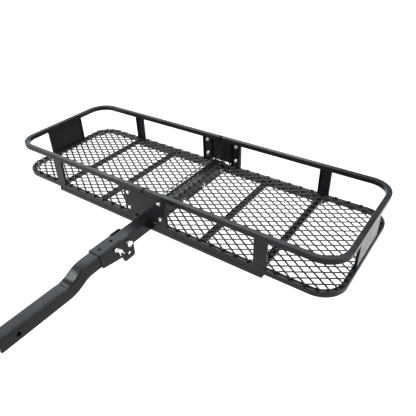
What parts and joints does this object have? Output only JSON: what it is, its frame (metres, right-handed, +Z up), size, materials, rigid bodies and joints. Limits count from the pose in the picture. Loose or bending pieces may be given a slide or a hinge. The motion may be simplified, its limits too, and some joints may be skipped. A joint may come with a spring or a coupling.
{
  "type": "hitch cargo carrier",
  "caption": "Folding steel cargo basket with a mesh floor, on a tube hinged to a raised receiver shank.",
  "frame": {"origin": "centre of the receiver pin hole, on the axis of the shank", "axes": "+X along the basket's length, -Y towards the vehicle, +Z up"},
  "size_m": [1.524, 1.1998, 0.217],
  "materials": {
    "black_coat": "semi-gloss black powder coat",
    "grey_coat": "semi-gloss black powder coat, a shade lighter",
    "mesh_coat": "black powder coat on expanded steel",
    "zinc_steel": "bright zinc plate",
    "plug_plastic": "matte black"
  },
  "bodies": {
    "hitch": {"hitch_shank": "black_coat", "hinge_bracket": "grey_coat", "pivot_bolt": "zinc_steel", "pivot_washers": "black_coat", "pivot_nut": "zinc_steel"},
    "basket": {"main_tube": "black_coat", "main_tube_plug": "plug_plastic", "front_left_support": "black_coat", "front_right_support": "black_coat", "rear_support": "black_coat", "left_bottom_rail": "black_coat", "right_bottom_rail": "black_coat", "left_top_rail": "grey_coat", "right_top_rail": "grey_coat", "left_outer_crossbar": "black_coat", "left_inner_crossbar": "black_coat", "right_inner_crossbar": "black_coat", "right_outer_crossbar": "black_coat", "left_centre_angle": "black_coat", "right_centre_angle": "black_coat", "through_bolts": "zinc_steel", "through_washers": "zinc_steel", "through_nuts": "zinc_steel", "left_mesh_floor": "mesh_coat", "right_mesh_floor": "mesh_coat", "left_mesh_ramp": "mesh_coat", "right_mesh_ramp": "mesh_coat", "left_end_plate": "grey_coat", "right_end_plate": "grey_coat", "front_left_post": "black_coat", "front_right_post": "black_coat", "rear_left_post": "black_coat", "rear_right_post": "black_coat", "front_left_joint_upright": "black_coat", "front_right_joint_upright": "black_coat", "rear_left_joint_upright": "black_coat", "rear_right_joint_upright": "black_coat", "front_joint_plate": "grey_coat", "rear_joint_plate": "grey_coat", "joint_bolts": "zinc_steel", "joint_washers": "zinc_steel", "joint_nuts": "zinc_steel"},
    "lock_pin": {"lock_pin": "zinc_steel"},
    "r_clip": {"lock_pin_clip": "zinc_steel"}
  },
  "joints": [
    {"name": "basket_fold", "type": "hinge", "parent": "hitch", "child": "basket", "pos_m": [0, 0.467, 0.03], "axis": [1, 0, 0], "range_deg": [0, 90]},
    {"name": "lock_pin_slide", "type": "slide", "parent": "hitch", "child": "lock_pin", "axis": [-1, 0, 0], "range_m": [0, 0.007]},
    {"name": "r_clip_pull", "type": "slide", "parent": "lock_pin", "child": "r_clip", "axis": [0, -0.5736, 0.8192], "range_m": [0, 0.045]}
  ]
}
